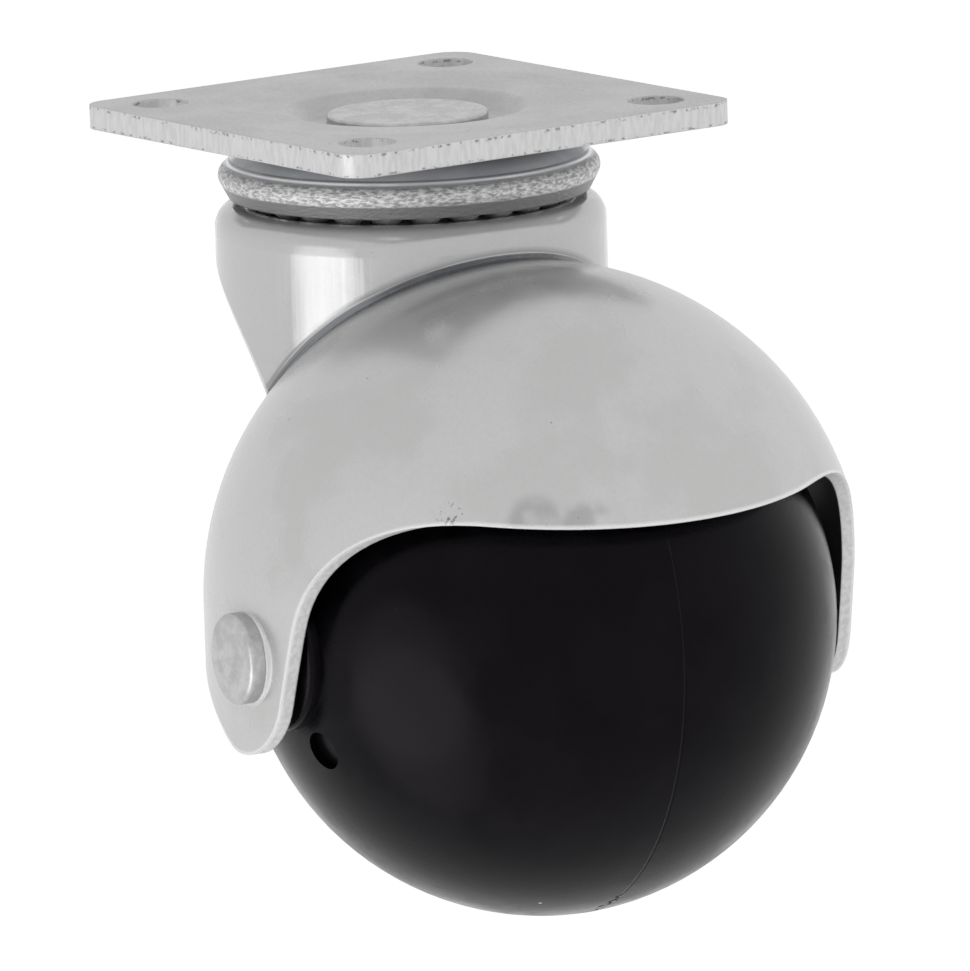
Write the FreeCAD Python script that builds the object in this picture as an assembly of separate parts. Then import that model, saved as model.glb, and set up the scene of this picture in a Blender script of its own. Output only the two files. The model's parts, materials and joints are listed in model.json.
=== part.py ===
"""Ball castor: a moulded ball under a drawn steel hood that swivels below a square screw-on plate.

Millimetres, +Z up. The origin is the middle of the plate's top face, on the swivel axis. The swivelling
group is drawn with its trail along +X and its axle along Y, then turned about Z to its rest position.
"""
import math
import os

import FreeCAD, Part
from FreeCAD import Vector

# Ball, trail and rest position
ball_radius = 25.0
ball_flattening = 0.15
trail = 21.0
rest_turn = -8.2

# Top plate
plate_side = 40.0
plate_thickness = 2.0
plate_corner_radius = 2.4
hole_pitch = 30.0
hole_diameter = 4.8
sag_radius = 17.0
sag_depth = 0.45
recess_radius = 10.2
recess_slope_width = 1.6
recess_depth = 1.6
recess_floor_thickness = 1.6
recess_foot_radius = 0.8
recess_lip_radius = 1.2
boss_foot_radius = 1.5
boss_edge_radius = 0.8

# Kingpin rivet
kingpin_head_diameter = 13.7
kingpin_head_height = 0.8
kingpin_head_edge = 0.25
kingpin_diameter = 8.0
kingpin_tail_diameter = 6.6
kingpin_upset_diameter = 11.0
kingpin_upset_height = 1.6
kingpin_upset_edge = 0.9
rivet_fit = 0.02

# Swivel bearing
bearing_ball_diameter = 3.175
bearing_gap = 0.08
upper_circle_radius = 12.5
upper_ball_count = 24
upper_race_thickness = 2.2
upper_race_overhang = 3.95
upper_race_flare = 44.0
upper_race_trim = 28.0
upper_race_edge = 1.0
lower_circle_inset = 4.9
lower_ball_count = 14
lower_race_thickness = 1.5
lower_race_rim_height = 2.0

# Drawn hood and its crown
sheet_thickness = 1.2
hood_gap = 1.5
hood_setback = 0.8
hood_lift = 2.2
crown_overhang = 4.12
crown_centre_rise = 1.2
crown_groove_flank = 28.0
crown_shoulder_radius = 2.0
crown_bend_radius = 1.5
crown_hole_gap = 0.8
neck_room = 1.28

# Trimmed edge of the hood, seen along the axle; heights and reaches are from the axle
rear_arch_drop = 11.3
rear_arch_radius = 22.0
rear_edge_reach = 14.5
heel_drop = 2.45
heel_radius = 4.0
toe_reach = 2.95
toe_drop = 11.05
toe_radius = 6.2
arch_foot_reach = 7.95
arch_foot_rise = 7.7
arch_foot_radius = 11.8
arch_top_reach = 14.95
arch_top_rise = 13.25
arch_top_radius = 11.9
visor_slope = 0.12

# Axle rivet and the ball's hubs
axle_diameter = 5.0
axle_fit = 0.06
axle_head_diameter = 7.6
axle_head_height = 1.35
axle_head_edge = 0.4
axle_upset_diameter = 7.0
axle_upset_height = 0.6
axle_dimple_diameter = 4.4
axle_dimple_depth = 0.25
axle_seat_margin = 0.1
axle_seat_rise = 0.02
hub_diameter = 13.0
hub_height = 1.0
hub_edge = 0.5
hub_tip_diameter = 8.4
hub_tip_edge = 0.3
hub_gap = 0.3
gate_reach = 4.75
gate_drop = 7.65
gate_diameter = 3.4
gate_depth = 0.8

# Sizes worked out from those above
bearing_groove_radius = bearing_ball_diameter / 2 + bearing_gap
recess_floor = -recess_depth
plate_boss_face = recess_floor - recess_floor_thickness
upper_race_underside = plate_boss_face - upper_race_thickness
upper_circle_height = upper_race_underside - bearing_groove_radius
lower_circle_radius = upper_circle_radius - lower_circle_inset
upper_race_rim_radius = upper_circle_radius + upper_race_overhang
crown_radius = upper_circle_radius + crown_overhang
groove_flank = math.radians(crown_groove_flank)
crown_groove_slope = math.tan(groove_flank)
crown_groove_apex = upper_circle_height - bearing_groove_radius / math.cos(groove_flank)
crown_face = crown_groove_apex + crown_centre_rise
lower_circle_height = crown_face - sheet_thickness - bearing_groove_radius
lower_race_face = lower_circle_height - bearing_groove_radius
lower_race_underside = lower_race_face - lower_race_thickness
crown_shoulder = crown_groove_apex + crown_overhang * crown_groove_slope
crown_wall_top = crown_shoulder - crown_shoulder_radius * math.tan(math.pi / 4 + groove_flank / 2)
hood_inner_radius = ball_radius + hood_gap
hood_radius = hood_inner_radius + sheet_thickness
hood_rise_at_crown = math.sqrt(hood_radius**2 - (crown_radius - trail + hood_setback)**2)
hood_centre = Vector(trail - hood_setback, 0, crown_wall_top - neck_room - hood_rise_at_crown)
neck_blend_radius = 0.8 * neck_room
axle_drop = hood_lift - hood_centre.z
hood_floor = -axle_drop - toe_drop - sheet_thickness
axle_point = Vector(trail, 0, -axle_drop)
axle_seat = math.sqrt(hood_radius**2 - hood_setback**2) + axle_seat_rise

swivel_axis = Vector(0, 0, 1)
axle_axis = Vector(0, 1, 0)


# Profiles

def turn_at(before, corner, after):
    """Angle by which a chain of points turns at a corner, positive to the left."""
    arriving = math.atan2(corner[1] - before[1], corner[0] - before[0])
    leaving = math.atan2(after[1] - corner[1], after[0] - corner[0])
    return math.remainder(leaving - arriving, 2 * math.pi)


def towards(start, end, distance):
    """Point at a distance from one point on the way to another."""
    share = distance / math.dist(start[:2], end[:2])
    return (start[0] + (end[0] - start[0]) * share, start[1] + (end[1] - start[1]) * share)


def corner_reaches(corners):
    """Length that each corner's rounding takes from its two sides, shortened where a side has no room."""
    count = len(corners)
    turns = [turn_at(corners[i - 1], corners[i], corners[(i + 1) % count]) for i in range(count)]
    wanted = [corner[2] * math.tan(abs(turn) / 2) for corner, turn in zip(corners, turns)]
    shares = [1.0] * count
    for i in range(count):
        after = (i + 1) % count
        side = math.dist(corners[i][:2], corners[after][:2])
        if wanted[i] + wanted[after] > side:
            share = side / (wanted[i] + wanted[after])
            shares[i] = min(shares[i], share)
            shares[after] = min(shares[after], share)
    return [reach * share for reach, share in zip(wanted, shares)]


def rounded_face(corners, place):
    """Flat face inside a closed chain of corners (a, b, radius), laid out in space by place(a, b)."""
    count = len(corners)
    reaches = corner_reaches(corners)
    edges = []
    last = towards(corners[-1], corners[0], reaches[-1])
    for i, corner in enumerate(corners):
        before, after, reach = corners[i - 1], corners[(i + 1) % count], reaches[i]
        start = towards(corner, before, reach)
        if math.dist(last, start) > 1e-4:
            edges.append(Part.makeLine(place(*last), place(*start)))
        last = towards(corner, after, reach)
        if reach > 1e-4:
            half_turn = abs(turn_at(before, corner, after)) / 2
            sagitta = reach * (1 / math.cos(half_turn) - 1) / math.tan(half_turn)
            chord_middle = ((start[0] + last[0]) / 2, (start[1] + last[1]) / 2)
            middle = towards(corner, chord_middle, sagitta)
            edges.append(Part.Arc(place(*start), place(*middle), place(*last)).toShape())
    return Part.Face(Part.Wire(edges))


def set_off(path, distance):
    """Open chain of corners moved to the right of its direction, with its roundings kept concentric."""
    normals = []
    for start, end in zip(path, path[1:]):
        length = math.dist(start[:2], end[:2])
        normals.append(((end[1] - start[1]) / length, (start[0] - end[0]) / length))
    moved = []
    for i, point in enumerate(path):
        first = normals[max(i - 1, 0)]
        second = normals[min(i, len(normals) - 1)]
        scale = distance / (1 + first[0] * second[0] + first[1] * second[1])
        radius = 0.0
        if 0 < i < len(path) - 1:
            side = math.copysign(distance, turn_at(path[i - 1], point, path[i + 1]))
            radius = max(point[2] + side, 0.0)
        across = point[0] + (first[0] + second[0]) * scale
        along = point[1] + (first[1] + second[1]) * scale
        moved.append((across, along, radius))
    return moved


def sheet_section(path, thickness):
    """Closed section of a bent sheet whose upper face follows the path from the axis outwards."""
    return path + set_off(path, thickness)[::-1]


def turned(corners):
    """Solid of revolution about the swivel axis from corners (radius, height, rounding)."""
    face = rounded_face(corners, lambda radius, height: Vector(radius, 0, height))
    return face.revolve(Vector(0, 0, 0), swivel_axis, 360)


def turned_on_axle(corners):
    """Solid of revolution about the axle from corners (place along the axle, radius, rounding)."""
    face = rounded_face(corners, lambda along, radius: axle_point + Vector(radius, along, 0))
    return face.revolve(axle_point, axle_axis, 360)


def along_axle(outline, reach):
    """Solid with an outline of corners (x, z, rounding) that reaches as far on both sides of the middle."""
    face = rounded_face(outline, lambda x, z: Vector(x, -reach, z))
    return face.extrude(Vector(0, 2 * reach, 0))


def on_swivel(shape):
    """Copy of a swivelling piece turned from its drawing position to its rest position."""
    copy = shape.copy()
    copy.rotate(Vector(0, 0, 0), swivel_axis, rest_turn)
    return copy


# Plate, races and kingpin

def make_top_plate():
    """Square plate with four screw holes, sagging a little to a pressed recess for the kingpin's head."""
    half = plate_side / 2
    outline = [(x * half, y * half, plate_corner_radius) for x, y in ((1, 1), (-1, 1), (-1, -1), (1, -1))]
    square = rounded_face(outline, lambda x, y: Vector(x, y, -plate_thickness))
    plate = square.extrude(Vector(0, 0, plate_thickness))
    plate = plate.cut(Part.makeCylinder(sag_radius, plate_thickness, Vector(0, 0, -plate_thickness)))
    hole_radius = kingpin_diameter / 2 + rivet_fit
    floor_radius = recess_radius - recess_slope_width
    pressed = turned([
        (hole_radius, recess_floor, 0),
        (floor_radius, recess_floor, recess_foot_radius),
        (recess_radius, -sag_depth, recess_lip_radius),
        (sag_radius, 0, 0),
        (sag_radius, -plate_thickness, 0),
        (recess_radius + plate_thickness / 2, -plate_thickness - sag_depth, boss_foot_radius),
        (floor_radius + plate_thickness / 2, plate_boss_face, boss_edge_radius),
        (hole_radius, plate_boss_face, 0),
    ])
    plate = plate.fuse(pressed).removeSplitter()
    for x in (-hole_pitch / 2, hole_pitch / 2):
        for y in (-hole_pitch / 2, hole_pitch / 2):
            foot = Vector(x, y, -1.5 * plate_thickness)
            plate = plate.cut(Part.makeCylinder(hole_diameter / 2, 2 * plate_thickness, foot))
    return plate


def make_upper_race():
    """Pressed saucer under the plate, with a flared rim, trimmed aslant, that keeps the upper balls in."""
    flare = math.radians(upper_race_flare)
    trim = math.radians(upper_race_trim)
    bend_radius = bearing_groove_radius + upper_race_thickness
    bend = upper_circle_radius + bend_radius * math.tan(flare / 2)
    rim_height = plate_boss_face - (upper_race_rim_radius - bend) * math.tan(flare)
    upper_path = [
        (kingpin_diameter / 2 + rivet_fit, plate_boss_face, 0),
        (bend, plate_boss_face, bend_radius),
        (upper_race_rim_radius, rim_height, upper_race_edge),
    ]
    lower_path = set_off(upper_path, upper_race_thickness)
    trim_length = upper_race_thickness / math.cos(flare - trim)
    trim_foot = (
        upper_race_rim_radius - trim_length * math.sin(trim),
        rim_height - trim_length * math.cos(trim),
        0,
    )
    return turned(upper_path + [trim_foot] + lower_path[-2::-1])


def make_lower_race():
    """Pressed cup under the crown that carries the lower balls."""
    wall = lower_circle_radius + bearing_groove_radius
    return turned(sheet_section([
        (kingpin_tail_diameter / 2 + rivet_fit, lower_race_face, 0),
        (wall, lower_race_face, bearing_groove_radius),
        (wall, lower_race_face + lower_race_rim_height, 0),
    ], lower_race_thickness))


def make_kingpin():
    """Rivet through plate and races: flat head on top, a shoulder for the lower race and an upset end."""
    shank = kingpin_diameter / 2
    tail = kingpin_tail_diameter / 2
    head = kingpin_head_diameter / 2
    upset = kingpin_upset_diameter / 2
    end = lower_race_underside - kingpin_upset_height
    return turned([
        (0, recess_floor + kingpin_head_height, 0),
        (head, recess_floor + kingpin_head_height, kingpin_head_edge),
        (head, recess_floor, 0),
        (shank, recess_floor, 0),
        (shank, lower_race_face, 0),
        (tail, lower_race_face, 0),
        (tail, lower_race_underside, 0),
        (upset, lower_race_underside, 0),
        (upset, end, kingpin_upset_edge),
        (0, end, 0),
    ])


def make_bearing_ball(circle_radius, height, share):
    """Bearing ball at a share of the way round its circle."""
    angle = 2 * math.pi * share
    centre = Vector(circle_radius * math.cos(angle), circle_radius * math.sin(angle), height)
    return Part.makeSphere(bearing_ball_diameter / 2, centre)


# Hood

def make_dome(radius):
    """Half ball over the wheel that goes on straight down below its widest level."""
    face = rounded_face([
        (0, hood_centre.z + radius, 0),
        (radius, hood_centre.z + radius, radius),
        (radius, hood_floor, 0),
        (0, hood_floor, 0),
    ], lambda across, height: Vector(hood_centre.x + across, 0, height))
    return face.revolve(hood_centre, swivel_axis, 360)


def make_crown(path):
    """Solid below a crown path that starts on the swivel axis and ends at the foot of the wall."""
    return turned(path + [(0, path[-1][1], 0)])


def is_neck(edge, dome, wall_radius):
    """True for an edge that lies on both the crown's wall and the dome, above the foot of the two."""
    first, last = edge.ParameterRange
    for share in (0.2, 0.5, 0.8):
        point = edge.valueAt(first + (last - first) * share)
        off_wall = abs(math.hypot(point.x, point.y) - wall_radius)
        off_dome = dome.distToShape(Part.Vertex(point))[0]
        if off_wall > 1e-3 or off_dome > 1e-3 or point.z < hood_floor + 0.1:
            return False
    return True


def blended(dome, crown, wall_radius, blend_radius):
    """Dome and crown as one solid with a hollow rounding where the crown's wall runs into the dome."""
    solid = dome.fuse(crown).removeSplitter()
    neck = [edge for edge in solid.Edges if is_neck(edge, dome, wall_radius)]
    return solid.makeFillet(blend_radius, neck)


def make_hood():
    """Drawn sheet steel crown and hood in one piece, trimmed to two cheeks that carry the axle."""
    groove_foot = upper_circle_radius - crown_centre_rise / crown_groove_slope
    upper_path = [
        (0, crown_face, 0),
        (groove_foot, crown_face, crown_bend_radius),
        (upper_circle_radius, crown_groove_apex, bearing_groove_radius),
        (crown_radius, crown_shoulder, crown_shoulder_radius),
        (crown_radius, hood_floor, 0),
    ]
    lower_path = set_off(upper_path, sheet_thickness)
    outside = blended(make_dome(hood_radius), make_crown(upper_path), crown_radius, neck_blend_radius)
    inside = blended(
        make_dome(hood_inner_radius),
        make_crown(lower_path),
        crown_radius - sheet_thickness,
        neck_blend_radius + sheet_thickness,
    )
    hood = outside.cut(inside)

    behind = -2 * crown_radius
    ahead = trail + 2 * hood_radius
    rear_edge = trail - rear_edge_reach
    arch_top = (trail + arch_top_reach, arch_top_rise - axle_drop)
    visor_end = arch_top[1] - (ahead - arch_top[0]) * visor_slope
    hood = hood.common(along_axle([
        (behind, 0, 0),
        (behind, -rear_arch_drop, 0),
        (rear_edge, -rear_arch_drop, rear_arch_radius),
        (rear_edge, -axle_drop - heel_drop, heel_radius),
        (trail + toe_reach, -axle_drop - toe_drop, toe_radius),
        (trail + arch_foot_reach, arch_foot_rise - axle_drop, arch_foot_radius),
        (arch_top[0], arch_top[1], arch_top_radius),
        (ahead, visor_end, 0),
        (ahead, 0, 0),
    ], 2 * hood_radius))

    seat_base = hood_inner_radius + sheet_thickness / 4
    for side in (-1, 1):
        seat_foot = axle_point + axle_axis * (side * seat_base)
        hood = hood.fuse(Part.makeCylinder(
            axle_head_diameter / 2 + axle_seat_margin, axle_seat - seat_base, seat_foot, axle_axis * side))
    hood = hood.removeSplitter()
    hole_start = axle_point - axle_axis * (2 * hood_radius)
    axle_hole = Part.makeCylinder(axle_diameter / 2 + rivet_fit, 4 * hood_radius, hole_start, axle_axis)
    kingpin_hole = Part.makeCylinder(
        kingpin_diameter / 2 + crown_hole_gap, 2 * axle_drop, Vector(0, 0, -axle_drop))
    return hood.cut(axle_hole).cut(kingpin_hole)


# Axle and ball

def make_axle():
    """Rivet across the cheeks with a flat, slightly dimpled head and a low upset end."""
    shank = axle_diameter / 2
    head = axle_head_diameter / 2
    head_end = axle_seat + axle_head_height
    upset = axle_upset_diameter / 2
    upset_end = axle_seat + axle_upset_height
    axle = turned_on_axle([
        (-head_end, 0, 0),
        (-head_end, head, axle_head_edge),
        (-axle_seat, head, 0),
        (-axle_seat, shank, 0),
        (axle_seat, shank, 0),
        (axle_seat, upset, 0),
        (upset_end, upset, axle_upset_height),
        (upset_end, 0, 0),
    ])
    dimple_radius = axle_dimple_diameter / 2
    round_radius = (dimple_radius**2 + axle_dimple_depth**2) / (2 * axle_dimple_depth)
    dimple_centre = axle_point - axle_axis * (head_end + round_radius - axle_dimple_depth)
    return axle.cut(Part.makeSphere(round_radius, dimple_centre))


def make_ball():
    """Moulded ball of two halves that meet in a faint ridge, with a stepped hub on each and a gate pit."""
    hub = hub_diameter / 2
    tip = hub_tip_diameter / 2
    bore = axle_diameter / 2 + axle_fit
    hub_foot = math.sqrt(ball_radius**2 - hub**2) - ball_flattening
    hub_face = hub_foot + hub_height
    tip_face = math.sqrt(hood_inner_radius**2 - (tip + hood_setback)**2) - hub_gap
    half_shift = axle_axis * ball_flattening
    ball = Part.makeSphere(ball_radius, axle_point + half_shift)
    ball = ball.common(Part.makeSphere(ball_radius, axle_point - half_shift))
    hubs = turned_on_axle([
        (-tip_face, 0, 0),
        (-tip_face, tip, hub_tip_edge),
        (-hub_face, hub, hub_edge),
        (hub_face, hub, hub_edge),
        (tip_face, tip, hub_tip_edge),
        (tip_face, 0, 0),
    ])
    ball = ball.fuse(hubs)
    gate_side = -math.sqrt(ball_radius**2 - gate_reach**2 - gate_drop**2)
    outward = Vector(gate_reach, gate_side, -gate_drop).normalize()
    gate_floor = axle_point + half_shift + outward * (ball_radius - gate_depth)
    ball = ball.cut(Part.makeCylinder(gate_diameter / 2, 2 * gate_depth, gate_floor, outward))
    bore_start = axle_point - axle_axis * (2 * ball_radius)
    return ball.cut(Part.makeCylinder(bore, 4 * ball_radius, bore_start, axle_axis))


pieces = {
    "top_plate": make_top_plate(),
    "upper_race": make_upper_race(),
    "kingpin": make_kingpin(),
    "lower_race": make_lower_race(),
    "hood": on_swivel(make_hood()),
    "axle": on_swivel(make_axle()),
    "ball_wheel": on_swivel(make_ball()),
}
for number in range(upper_ball_count):
    pieces[f"upper_ball_{number + 1:02d}"] = make_bearing_ball(
        upper_circle_radius, upper_circle_height, number / upper_ball_count)
for number in range(lower_ball_count):
    pieces[f"lower_ball_{number + 1:02d}"] = make_bearing_ball(
        lower_circle_radius, lower_circle_height, number / lower_ball_count)

os.makedirs("parts", exist_ok=True)
for name, shape in pieces.items():
    shape.exportStep(f"parts/{name}.step")
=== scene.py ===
"""Looks of the ball castor: studio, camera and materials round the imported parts. Metres, +Z up."""
import json
import math

import bpy
from mathutils import Matrix, Vector

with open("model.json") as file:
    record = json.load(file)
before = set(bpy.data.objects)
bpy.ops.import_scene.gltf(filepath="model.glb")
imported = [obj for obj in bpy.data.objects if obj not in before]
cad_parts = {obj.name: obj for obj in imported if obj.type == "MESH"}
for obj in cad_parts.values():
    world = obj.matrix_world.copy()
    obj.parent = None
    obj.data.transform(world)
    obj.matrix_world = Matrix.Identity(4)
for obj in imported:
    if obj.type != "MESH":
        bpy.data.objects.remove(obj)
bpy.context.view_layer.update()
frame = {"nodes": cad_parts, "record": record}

scene = bpy.context.scene
scene.view_settings.view_transform = "Standard"

# Places on the part that the materials use, in millimetres, in the part's own frame
REST_TURN = math.radians(-8.2)
HOOD_TRAIL = 20.2
AXLE_TRAIL = 21.0
HOOD_CENTRE = (HOOD_TRAIL * math.cos(REST_TURN), HOOD_TRAIL * math.sin(REST_TURN), -38.84)
AXLE_POINT = (AXLE_TRAIL * math.cos(REST_TURN), AXLE_TRAIL * math.sin(REST_TURN), -41.04)
AXLE = (-math.sin(REST_TURN), math.cos(REST_TURN), 0)
HOOD_OUTER = 27.7
HOOD_INNER = 26.5
HALF_SHEET = (HOOD_OUTER - HOOD_INNER) / 2
CROWN_OUTER = 16.62
CROWN_SHOULDER = -10.8
LEFT_STAIN = (40.5, -17.7, -28.3)
RIGHT_STAIN = (42.9, -14.3, -28.6)
SCUFF = (35.6, -22.6, -27.7)
BEARING_SPLIT = -8.0

# Camera of the photograph, in degrees and metres; it stands 1 m from the part's origin
CAMERA_AZIMUTH = 53.8698
CAMERA_ELEVATION = 10.8651
CAMERA_ROLL = -1.7443
CAMERA_RIGHT = 0.0065946
CAMERA_DOWN = 0.0324538
CAMERA_LENS_MM = 438.4

# Staged set, in metres, and the light that it shows to the camera and to mirrors
LAMP_TARGET = Vector((0, 0, -0.04))
LAMP_TURN = 52
FLOOR_HEIGHT = -0.9
FLOOR_REACH = 9
FLOOR_GLOW = 0.5
WHITE = 1.0

# Rays for each rounded edge
BEVEL_SAMPLES = 4


# Node helpers

class Nodes:
    """A node tree with short calls: add returns the new node, the others an output socket."""

    def __init__(self, tree):
        self.tree = tree

    def add(self, kind, inputs=None, **settings):
        node = self.tree.nodes.new("ShaderNode" + kind)
        for name, value in settings.items():
            setattr(node, name, value)
        for name, value in (inputs or {}).items():
            self.put(node.inputs[name], value)
        return node

    def put(self, socket, value):
        if isinstance(value, bpy.types.NodeSocket):
            self.tree.links.new(value, socket)
        else:
            socket.default_value = value

    def math(self, operation, *values):
        node = self.add("Math", operation=operation)
        for socket, value in zip(node.inputs, values):
            self.put(socket, value)
        return node.outputs[0]

    def vector(self, operation, *values):
        node = self.add("VectorMath", operation=operation)
        for socket, value in zip(node.inputs, values):
            self.put(socket, value)
        return node.outputs["Value" if operation in ("LENGTH", "DOT_PRODUCT", "DISTANCE") else "Vector"]

    def span(self, value, low, high, start=0.0, end=1.0):
        """Smooth step of a value from start at low to end at high."""
        node = self.add("MapRange", interpolation_type="SMOOTHSTEP")
        for name, number in (("From Min", low), ("From Max", high), ("To Min", start), ("To Max", end)):
            node.inputs[name].default_value = number
        self.put(node.inputs["Value"], value)
        return node.outputs["Result"]

    def blend(self, factor, first, second):
        node = self.add("Mix", {"Factor": factor, "A": first, "B": second})
        return node.outputs["Result"]


class Shader(Nodes):
    """A material's nodes, with the place on the part in millimetres."""

    def __init__(self, name):
        self.material = bpy.data.materials.new(name)
        self.material.use_nodes = True
        super().__init__(self.material.node_tree)
        self.bsdf = self.tree.nodes["Principled BSDF"]
        self.coords = self.add("TexCoord")
        self.millimetres = self.vector("MULTIPLY", self.coords.outputs["Object"], (1000, 1000, 1000))
        self.height = self.add("SeparateXYZ", {"Vector": self.millimetres}).outputs["Z"]

    def noise(self, scale, detail=2.0, roughness=0.5, vector=None):
        place = self.millimetres if vector is None else vector
        inputs = {"Scale": scale, "Detail": detail, "Roughness": roughness, "Vector": place}
        return self.add("TexNoise", inputs).outputs["Fac"]

    def stretched(self, across, along, height, detail=2.0):
        """Noise drawn out along the part's own axes, with a scale for each in cycles per millimetre."""
        place = self.vector("MULTIPLY", self.millimetres, (across, along, height))
        return self.noise(1.0, detail, vector=place)

    def near(self, point, reach):
        """Soft round mask about a point on the part."""
        return self.span(self.vector("DISTANCE", self.millimetres, point), reach, reach * 0.55)

    def band(self, low, middle, high):
        """Soft mask of a band of heights."""
        below = self.span(self.height, high, middle)
        return self.math("MULTIPLY", self.span(self.height, low, middle), below)

    def specks(self, scale, size, share):
        """Round specks on a loose grid: mask of the given share of cells."""
        cells = self.add("TexVoronoi", {"Vector": self.millimetres, "Scale": scale})
        near = self.span(cells.outputs["Distance"], size * scale, size * scale * 0.5)
        pick = self.add("SeparateColor", {"Color": cells.outputs["Color"]}).outputs["Red"]
        return self.math("MULTIPLY", near, self.math("LESS_THAN", pick, share))

    def mix(self, factor, first, second):
        node = self.add("MixRGB", {"Fac": factor, "Color1": first, "Color2": second})
        return node.outputs["Color"]

    def bump(self, height, depth, normal=None):
        """Bump of a 0 to 1 height whose full step is depth millimetres."""
        node = self.add("Bump", {"Height": height, "Distance": depth / 1000, "Strength": 1.0})
        if normal is not None:
            self.put(node.inputs["Normal"], normal)
        return node.outputs["Normal"]

    def rounded(self, radius):
        """Normal with sharp edges rounded off by a radius in millimetres."""
        return self.add("Bevel", {"Radius": radius / 1000}, samples=BEVEL_SAMPLES).outputs["Normal"]

    def finish(self, **sockets):
        for name, value in sockets.items():
            self.put(self.bsdf.inputs[name.replace("_", " ")], value)
        return self.material


def grey(value, warm=0.0):
    return (value + warm, value, value - warm, 1.0)


# Materials

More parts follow.
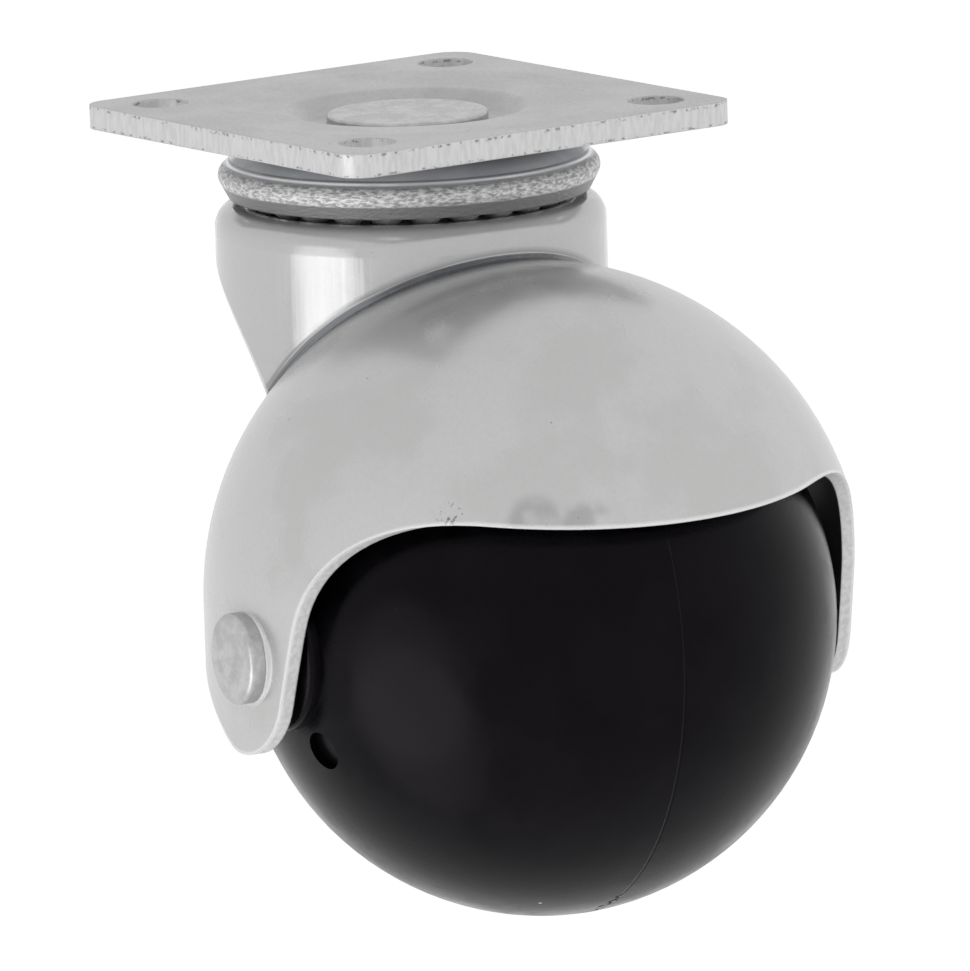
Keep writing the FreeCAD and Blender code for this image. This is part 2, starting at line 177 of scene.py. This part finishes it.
def hood_material():
    """Drawn zinc-plated sheet: orange peel, drawing lines, scuffs, pale sheared edges with a painted
    highlight on their rounded outer rim, painted shade near the crease and a rougher inside darkened with
    painted shade.
    """
    s = Shader("hood_zinc")
    offset = s.vector("SUBTRACT", s.millimetres, HOOD_CENTRE)
    parts = s.add("SeparateXYZ", {"Vector": offset})
    above = s.math("MAXIMUM", parts.outputs["Z"], 0.0)
    flat = s.add("CombineXYZ", {"X": parts.outputs["X"], "Y": parts.outputs["Y"], "Z": above})
    reach = s.vector("LENGTH", flat.outputs["Vector"])
    spot = s.add("SeparateXYZ", {"Vector": s.millimetres})
    level = s.add("CombineXYZ", {"X": spot.outputs["X"], "Y": spot.outputs["Y"]})
    ring = s.vector("LENGTH", level.outputs["Vector"])
    off_middle = s.math("ABSOLUTE", s.math("SUBTRACT", reach, HOOD_OUTER - HALF_SHEET))
    dome_edge = s.span(off_middle, HALF_SHEET - 0.02, HALF_SHEET - 0.1)
    off_middle = s.math("ABSOLUTE", s.math("SUBTRACT", ring, CROWN_OUTER - HALF_SHEET))
    crown_edge = s.span(off_middle, HALF_SHEET - 0.02, HALF_SHEET - 0.1)
    low = s.math("LESS_THAN", s.height, CROWN_SHOULDER)
    outside = s.math("GREATER_THAN", reach, HOOD_OUTER + 0.2)
    crown_edge = s.math("MULTIPLY", crown_edge, s.math("MULTIPLY", low, outside))
    facing = s.vector("DOT_PRODUCT", s.rounded(0.6), s.add("NewGeometry").outputs["Normal"])
    outer_half = s.span(reach, HOOD_INNER + HALF_SHEET, HOOD_OUTER - 0.3)
    # Rounded outer rim of the sheared edges, which gets a near-white tone: a painted highlight
    rim_painted_highlight = s.math("MULTIPLY", s.span(facing, 0.985, 0.90), outer_half)
    sheared = s.math("MAXIMUM", dome_edge, crown_edge)
    edge = s.math("MAXIMUM", sheared, rim_painted_highlight)
    inside = s.math("LESS_THAN", reach, HOOD_INNER + 0.02)

    cloud = s.noise(0.10, 3.0, 0.55)
    fine = s.noise(3.0, 3.0, 0.6)
    drawn = s.stretched(1.6, 1.6, 0.05, 3.0)
    pits = s.specks(0.45, 0.10, 0.14)
    outward = s.add("CombineXYZ", {"X": s.math("MULTIPLY", ring, 1.7)}).outputs["Vector"]
    rings = s.noise(1.0, 2.0, vector=outward)
    neck = s.math("MULTIPLY", s.span(ring, 19.5, 17.2), s.span(s.height, -9.9, -10.6))
    above_dome = s.math("SUBTRACT", reach, HOOD_OUTER)
    crown = s.span(above_dome, 0.2, 0.9)
    from_crease = s.math("MAXIMUM", s.math("SUBTRACT", ring, CROWN_OUTER), above_dome)
    along_crease = s.add("CombineXYZ", {
        "X": s.math("MULTIPLY", from_crease, 1.7), "Y": s.math("MULTIPLY", s.height, 0.10)})
    streaks = s.span(s.noise(1.0, 2.0, vector=along_crease.outputs["Vector"]), 0.44, 0.56)
    streaks = s.math("MULTIPLY", streaks, s.span(from_crease, 1.3, 0.2))
    stains = s.math("MAXIMUM", s.near(LEFT_STAIN, 2.9), s.near(RIGHT_STAIN, 2.7))
    stains = s.math("MULTIPLY", stains, s.span(s.noise(0.35, 2.0), 0.3, 0.6))
    scratches = s.span(s.stretched(3.4, 3.4, 1.2, 3.0), 0.56, 0.62)
    scratches = s.math("MULTIPLY", scratches, s.near(SCUFF, 1.5))
    dirt = s.math("MAXIMUM", s.math("MULTIPLY", pits, 0.6), s.math("MULTIPLY", scratches, 0.8))
    tone = s.mix(s.span(cloud, 0.40, 0.58), grey(0.52, 0.003), grey(0.56))
    tone = s.mix(crown, tone, grey(0.52))
    tone = s.mix(s.math("MULTIPLY", s.span(fine, 0.35, 0.7), 0.2), tone, grey(0.44))
    tone = s.mix(s.math("MULTIPLY", stains, 0.7), tone, grey(0.33))
    # Painted shade and reflection: the dome just below the crease gets a dark bluish grey
    shade = s.math("MULTIPLY", s.span(from_crease, 4.5, 1.0), s.math("LESS_THAN", above_dome, 0.5))
    tone = s.mix(s.math("MULTIPLY", shade, 0.85), tone, (0.17, 0.18, 0.20, 1))
    tone = s.mix(s.math("MULTIPLY", streaks, 0.85), tone, grey(0.10))
    tone = s.mix(dirt, tone, grey(0.12))
    # Painted shade: the inside of the hood gets a dark grey tone
    tone = s.mix(inside, tone, grey(0.16))
    tone = s.mix(sheared, tone, s.mix(s.span(s.noise(2.2, 3.0), 0.35, 0.65), grey(0.62), grey(0.74)))
    # Painted highlight: near-white tone on the rounded outer rim of the sheared edges
    tone = s.mix(rim_painted_highlight, tone, grey(0.97))
    rough = s.blend(s.span(cloud, 0.35, 0.65), 0.24, 0.31)
    rough = s.blend(crown, rough, s.blend(s.span(drawn, 0.4, 0.6), 0.11, 0.22))
    rough = s.blend(s.math("MAXIMUM", edge, inside), rough, 0.5)
    metal = s.blend(edge, s.blend(crown, 0.56, 0.38), 0.05)
    normal = s.rounded(0.25)
    normal = s.bump(s.noise(0.11, 2.0), 0.16, normal=normal)
    normal = s.bump(s.noise(0.5, 1.0), 0.010, normal=normal)
    normal = s.bump(s.math("MULTIPLY", drawn, s.blend(crown, 0.4, 1.0)), 0.014, normal=normal)
    normal = s.bump(s.math("MULTIPLY", rings, neck), 0.12, normal=normal)
    normal = s.bump(s.math("SUBTRACT", 1.0, dirt), 0.03, normal=normal)
    return s.finish(Base_Color=tone, Metallic=metal, Roughness=rough, Normal=normal)


def plate_material():
    """Sheet blank: faint rolled grain on the faces, torn and pitted along the sheared sides."""
    s = Shader("plate_zinc")
    facing = s.add("SeparateXYZ", {"Vector": s.coords.outputs["Normal"]})
    side = s.span(s.math("ABSOLUTE", facing.outputs["Z"]), 0.35, 0.15)
    grain = s.stretched(0.25, 4.0, 1.0, 3.0)
    cloud = s.noise(0.14, 3.0)
    fine = s.noise(2.6, 4.0, 0.65)
    torn = s.stretched(2.4, 2.4, 0.6, 4.0)
    pits = s.specks(0.55, 0.13, 0.14)
    upper_edge = s.band(-0.45, -0.18, -0.03)
    lower_edge = s.band(-1.98, -1.86, -1.65)
    nicks = s.math("GREATER_THAN", s.noise(1.5, 3.0, 0.7), 0.57)
    nicks = s.math("MULTIPLY", nicks, s.math("MULTIPLY", side, s.math("MAXIMUM", upper_edge, lower_edge)))
    tone = s.mix(s.span(cloud, 0.36, 0.64), grey(0.44), grey(0.50))
    tone = s.mix(s.math("MULTIPLY", s.span(fine, 0.4, 0.75), 0.3), tone, grey(0.38))
    tone = s.mix(side, tone, s.mix(s.span(torn, 0.35, 0.65), grey(0.58), grey(0.66)))
    tone = s.mix(s.math("MULTIPLY", s.math("MAXIMUM", pits, nicks), 0.75), tone, grey(0.12))
    rough = s.blend(side, s.blend(s.span(fine, 0.3, 0.7), 0.34, 0.46), 0.42)
    metal = s.blend(side, 0.5, 0.3)
    normal = s.rounded(0.2)
    normal = s.bump(grain, 0.006, normal=normal)
    normal = s.bump(s.math("MULTIPLY", torn, side), 0.010, normal=normal)
    normal = s.bump(fine, 0.006, normal=normal)
    normal = s.bump(s.math("SUBTRACT", 1.0, pits), 0.05, normal=normal)
    return s.finish(Base_Color=tone, Metallic=metal, Roughness=rough, Normal=normal)


def race_material():
    """Pressed race: smooth bluish flank with a raised line and a painted highlight along it, a coarse
    glittering rim and a foot darkened with painted shade.
    """
    s = Shader("race_zinc")
    upper = s.math("GREATER_THAN", s.height, BEARING_SPLIT)
    rim = s.math("MULTIPLY", s.span(s.height, -4.65, -4.95), upper)
    foot = s.math("MULTIPLY", s.span(s.height, -6.3, -6.5), upper)
    spot = s.add("SeparateXYZ", {"Vector": s.millimetres})
    turn = s.math("ARCTAN2", spot.outputs["Y"], spot.outputs["X"])
    unrolled = s.add("CombineXYZ", {
        "X": s.math("MULTIPLY", turn, 24.0), "Y": s.math("MULTIPLY", s.height, 3.6)})
    coarse = s.noise(1.0, 5.0, 0.65, vector=unrolled.outputs["Vector"])
    lines = s.stretched(0.18, 0.18, 5.0, 3.0)
    tone = s.mix(s.span(s.noise(0.2, 2.0), 0.4, 0.6), (0.48, 0.50, 0.54, 1), (0.54, 0.56, 0.58, 1))
    tone = s.mix(rim, tone, s.mix(s.span(coarse, 0.38, 0.62), grey(0.30), grey(0.74)))
    # Painted highlight: a pale line along the raised line of the flank
    tone = s.mix(s.band(-4.70, -4.50, -4.30), tone, grey(0.72))
    # Painted shade: the foot of the race beside the bearing gap gets a dark grey tone
    tone = s.mix(foot, tone, grey(0.19))
    rough = s.blend(rim, s.blend(s.span(lines, 0.35, 0.65), 0.14, 0.26), 0.36)
    metal = s.blend(foot, s.blend(rim, 0.5, 0.45), 0.3)
    normal = s.rounded(0.2)
    normal = s.bump(lines, 0.01, normal=normal)
    normal = s.bump(s.band(-4.65, -4.45, -4.25), 0.10, normal=normal)
    normal = s.bump(s.math("MULTIPLY", coarse, rim), 0.16, normal=normal)
    return s.finish(Base_Color=tone, Metallic=metal, Roughness=rough, Normal=normal)


def rivet_material():
    """Upset rivet ends: dull plating with hammer marks and dark specks."""
    s = Shader("rivet_zinc")
    cloud = s.noise(0.5, 3.0, 0.6)
    fine = s.noise(3.5, 4.0, 0.65)
    pits = s.specks(0.9, 0.11, 0.25)
    tone = s.mix(s.span(cloud, 0.35, 0.65), grey(0.42), grey(0.54))
    tone = s.mix(s.math("MULTIPLY", s.span(fine, 0.4, 0.7), 0.3), tone, grey(0.36))
    tone = s.mix(s.math("MULTIPLY", pits, 0.7), tone, grey(0.14))
    rough = s.blend(s.span(fine, 0.3, 0.7), 0.32, 0.46)
    normal = s.bump(cloud, 0.05, normal=s.rounded(0.15))
    normal = s.bump(fine, 0.012, normal=normal)
    return s.finish(Base_Color=tone, Metallic=0.7, Roughness=rough, Normal=normal)


def bearing_material():
    """Polished bearing balls under a film of grease."""
    s = Shader("bearing_steel")
    film = s.noise(0.9, 3.0, 0.6)
    tone = s.mix(s.span(film, 0.35, 0.7), (0.50, 0.49, 0.47, 1), grey(0.68))
    rough = s.blend(s.span(film, 0.35, 0.7), 0.45, 0.2)
    normal = s.bump(film, 0.01)
    return s.finish(Base_Color=tone, Metallic=0.4, Roughness=rough, Normal=normal)


def ball_material():
    """Black moulded plastic with a soft gloss, a thin parting line, faint handling marks and dust specks."""
    s = Shader("ball_black")
    offset = s.vector("SUBTRACT", s.millimetres, AXLE_POINT)
    from_parting = s.math("ABSOLUTE", s.vector("DOT_PRODUCT", offset, AXLE))
    parting = s.span(from_parting, 0.16, 0.04)
    cloud = s.noise(0.16, 3.0, 0.6)
    fine = s.noise(2.4, 3.0, 0.6)
    dust = s.specks(0.17, 0.20, 0.30)
    tone = s.mix(s.span(cloud, 0.35, 0.65), (0.0010, 0.0008, 0.0012, 1), (0.0024, 0.0020, 0.0028, 1))
    tone = s.mix(dust, tone, grey(0.5))
    rough = s.blend(s.span(cloud, 0.35, 0.65), 0.17, 0.27)
    rough = s.math("ADD", rough, s.math("MULTIPLY", s.span(fine, 0.45, 0.75), 0.04))
    normal = s.bump(s.noise(0.35, 2.0), 0.015)
    normal = s.bump(s.math("SUBTRACT", 1.0, parting), 0.05, normal=normal)
    normal = s.bump(fine, 0.003, normal=normal)
    s.bsdf.inputs["Specular IOR Level"].default_value = 0.08
    s.bsdf.inputs["Specular Tint"].default_value = (0.98, 0.88, 1.0, 1)
    return s.finish(Base_Color=tone, Roughness=rough, Normal=normal)


materials = {
    "hood_zinc": hood_material(),
    "plate_zinc": plate_material(),
    "race_zinc": race_material(),
    "rivet_zinc": rivet_material(),
    "bearing_steel": bearing_material(),
    "ball_black": ball_material(),
}
for subpart in frame["record"]["subparts"]:
    mesh = frame["nodes"][subpart["node"]].data
    mesh.materials.clear()
    mesh.materials.append(materials[subpart["material_slot"]])


# Camera at the photograph's angle

azimuth = math.radians(CAMERA_AZIMUTH)
elevation = math.radians(CAMERA_ELEVATION)
roll = math.radians(CAMERA_ROLL)
back = Vector((
    math.sin(azimuth) * math.cos(elevation), -math.cos(azimuth) * math.cos(elevation), math.sin(elevation)))
level_right = Vector((math.cos(azimuth), math.sin(azimuth), 0))
level_up = back.cross(level_right)
right = level_right * math.cos(roll) + level_up * math.sin(roll)
up = level_up * math.cos(roll) - level_right * math.sin(roll)
camera = bpy.data.objects.new("camera", bpy.data.cameras.new("camera"))
camera.data.lens = CAMERA_LENS_MM
camera.data.sensor_width = 36.0
camera.data.clip_start = 0.05
camera.data.clip_end = 20.0
turn = Matrix((right, up, back)).transposed().to_4x4()
camera.matrix_world = Matrix.Translation(back + right * CAMERA_RIGHT - up * CAMERA_DOWN) @ turn
scene.collection.objects.link(camera)
scene.camera = camera


# Studio

camera_side = Vector((math.sin(azimuth), -math.cos(azimuth), 0))
left_side = -level_right
right_front = (camera_side - left_side * 1.7).normalized()


def softbox(name, place, width, height, radiance, shape="ELLIPSE"):
    """Lamp of an even radiance, facing the part and unseen by the camera."""
    light = bpy.data.lights.new(name, "AREA")
    light.shape = shape
    light.size = width
    light.size_y = height
    light.energy = radiance * math.pi * width * height
    lamp = bpy.data.objects.new(name, light)
    lamp.location = place
    lamp.rotation_mode = "QUATERNION"
    lamp.rotation_quaternion = (LAMP_TARGET - place).to_track_quat("-Z", "Y")
    lamp.visible_camera = False
    scene.collection.objects.link(lamp)
    return lamp


def around(turn_left, height, distance):
    """Place at a turn in degrees to the left of the camera's side of the object."""
    angle = math.radians(turn_left)
    flat = camera_side * math.cos(angle) + left_side * math.sin(angle)
    return Vector((flat.x * distance, flat.y * distance, height))


softbox("window", around(LAMP_TURN, -0.25, 0.50), 0.48, 0.80, 0.75)
softbox("lit_table", around(LAMP_TURN, -0.24, 0.50), 0.42, 0.40, 1.0)
fill = softbox("fill", around(-LAMP_TURN, -0.10, 1.2), 1.0, 0.8, 1.5, "RECTANGLE")
fill.visible_glossy = False


def background_rays(nodes):
    """1 for the rays that show the white background: camera, mirrored and transmitted ones."""
    path = nodes.add("LightPath").outputs
    mirrored = nodes.math("MAXIMUM", path["Is Glossy Ray"], path["Is Transmission Ray"])
    return nodes.math("MAXIMUM", path["Is Camera Ray"], mirrored)


world = bpy.data.worlds.new("studio")
world.use_nodes = True
world.cycles.sampling_method = "NONE"
scene.world = world
room = Nodes(world.node_tree)
towards = room.add("TexCoord").outputs["Generated"]
even = room.span(room.vector("DOT_PRODUCT", towards, right_front), -0.6, 0.9, 0.48, 0.80)
background = world.node_tree.nodes["Background"]
background.inputs["Color"].default_value = (1, 1, 1, 1)
room.put(background.inputs["Strength"], room.blend(background_rays(room), even, WHITE))


def sheet(name, corners, look):
    """Flat staged sheet with a material."""
    mesh = bpy.data.meshes.new(name)
    mesh.from_pydata(corners, [], [(0, 1, 2, 3)])
    mesh.materials.append(look)
    item = bpy.data.objects.new(name, mesh)
    scene.collection.objects.link(item)


floor_look = Shader("floor")
floor_look.material.cycles.emission_sampling = "NONE"
pale = floor_look.mix(floor_look.noise(0.004, 2.0), grey(0.82), grey(0.86))
glow = floor_look.math("MULTIPLY", background_rays(floor_look), FLOOR_GLOW)
floor_look.finish(Base_Color=pale, Roughness=0.9, Emission_Color=(1, 1, 1, 1), Emission_Strength=glow)
floor_signs = ((-1, -1), (1, -1), (1, 1), (-1, 1))
floor_corners = [(x * FLOOR_REACH, y * FLOOR_REACH, FLOOR_HEIGHT) for x, y in floor_signs]
sheet("floor", floor_corners, floor_look.material)
